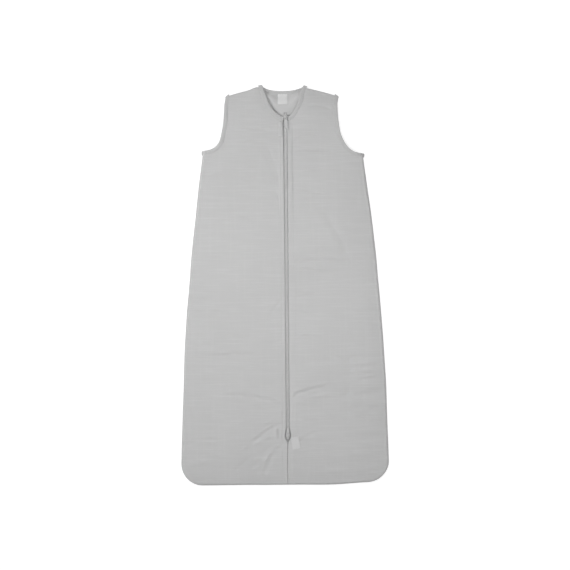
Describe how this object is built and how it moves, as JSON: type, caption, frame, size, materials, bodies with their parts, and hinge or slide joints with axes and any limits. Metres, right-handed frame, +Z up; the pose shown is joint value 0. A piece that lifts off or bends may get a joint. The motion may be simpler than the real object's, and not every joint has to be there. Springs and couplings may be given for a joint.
{
  "type": "baby sleeping bag",
  "caption": "Sleeveless baby sleeping bag of fine crinkled muslin with a lining, bound neck and armholes, and a two-way centre zip, lying flat on its back.",
  "frame": {"origin": "centre of the bag's bounding box in plan, on the surface it lies on", "axes": "+Z up out of the front, +Y towards the head end, +X to the right as seen from above"},
  "size_m": [0.466, 0.9002, 0.0254],
  "materials": {
    "muslin": "fine crinkled cotton muslin, matt",
    "lining": "smooth cotton lining, matt",
    "binding": "folded bias binding, matt",
    "overlock_thread": "overlocked seam edge",
    "zip_tape": "woven polyester tape",
    "nylon_coil": "satin nylon",
    "painted_zinc": "satin paint",
    "spring_steel": "bright spring steel",
    "label_satin": "woven satin, blank"
  },
  "bodies": {
    "bag": {"back_panel": "muslin", "front_panel_left": "muslin", "front_panel_right": "muslin", "back_lining": "lining", "front_lining_left": "lining", "front_lining_right": "lining", "zip_guard": "lining", "neck_binding": "binding", "armhole_binding_left": "binding", "armhole_binding_right": "binding", "side_seam_left": "overlock_thread", "side_seam_right": "overlock_thread", "hem_seam": "overlock_thread", "shoulder_seam_left": "overlock_thread", "shoulder_seam_right": "overlock_thread", "zip_tape_left": "zip_tape", "zip_tape_right": "zip_tape", "zip_coil_left": "nylon_coil", "zip_coil_right": "nylon_coil", "zip_top_stop_left": "painted_zinc", "zip_top_stop_right": "painted_zinc", "zip_bottom_stop": "painted_zinc", "neck_label": "label_satin"},
    "top_slider": {"top_slider_body": "painted_zinc", "top_slider_cap": "painted_zinc", "top_slider_lock_spring": "spring_steel"},
    "top_pull": {"top_pull_tab": "painted_zinc"},
    "bottom_slider": {"bottom_slider_body": "painted_zinc", "bottom_slider_cap": "painted_zinc", "bottom_slider_lock_spring": "spring_steel"},
    "bottom_pull": {"bottom_pull_tab": "painted_zinc"},
    "garage_flap": {"zip_garage": "muslin"},
    "label_flag": {"side_label": "label_satin"}
  },
  "joints": [
    {"name": "top_slider_travel", "type": "slide", "parent": "bag", "child": "top_slider", "axis": [0, -1, 0], "range_m": [0, 0.44]},
    {"name": "top_pull_tab_swing", "type": "hinge", "parent": "top_slider", "child": "top_pull", "pos_m": [0.008, 0.3755, 0.0228], "axis": [-1, 0, 0], "range_deg": [0, 175]},
    {"name": "bottom_slider_travel", "type": "slide", "parent": "bag", "child": "bottom_slider", "axis": [0, 1, 0], "range_m": [0, 0.21]},
    {"name": "bottom_pull_tab_swing", "type": "hinge", "parent": "bottom_slider", "child": "bottom_pull", "pos_m": [0.008, -0.3365, 0.0228], "axis": [1, 0, 0], "range_deg": [0, 175]},
    {"name": "zip_garage_fold", "type": "hinge", "parent": "bag", "child": "garage_flap", "pos_m": [0.0015, 0.348, 0.02065], "axis": [0, 1, 0], "range_deg": [0, 100]},
    {"name": "side_label_fold", "type": "hinge", "parent": "bag", "child": "label_flag", "pos_m": [0.016, -0.3545, 0.02045], "axis": [0, -1, 0], "range_deg": [0, 100]}
  ]
}
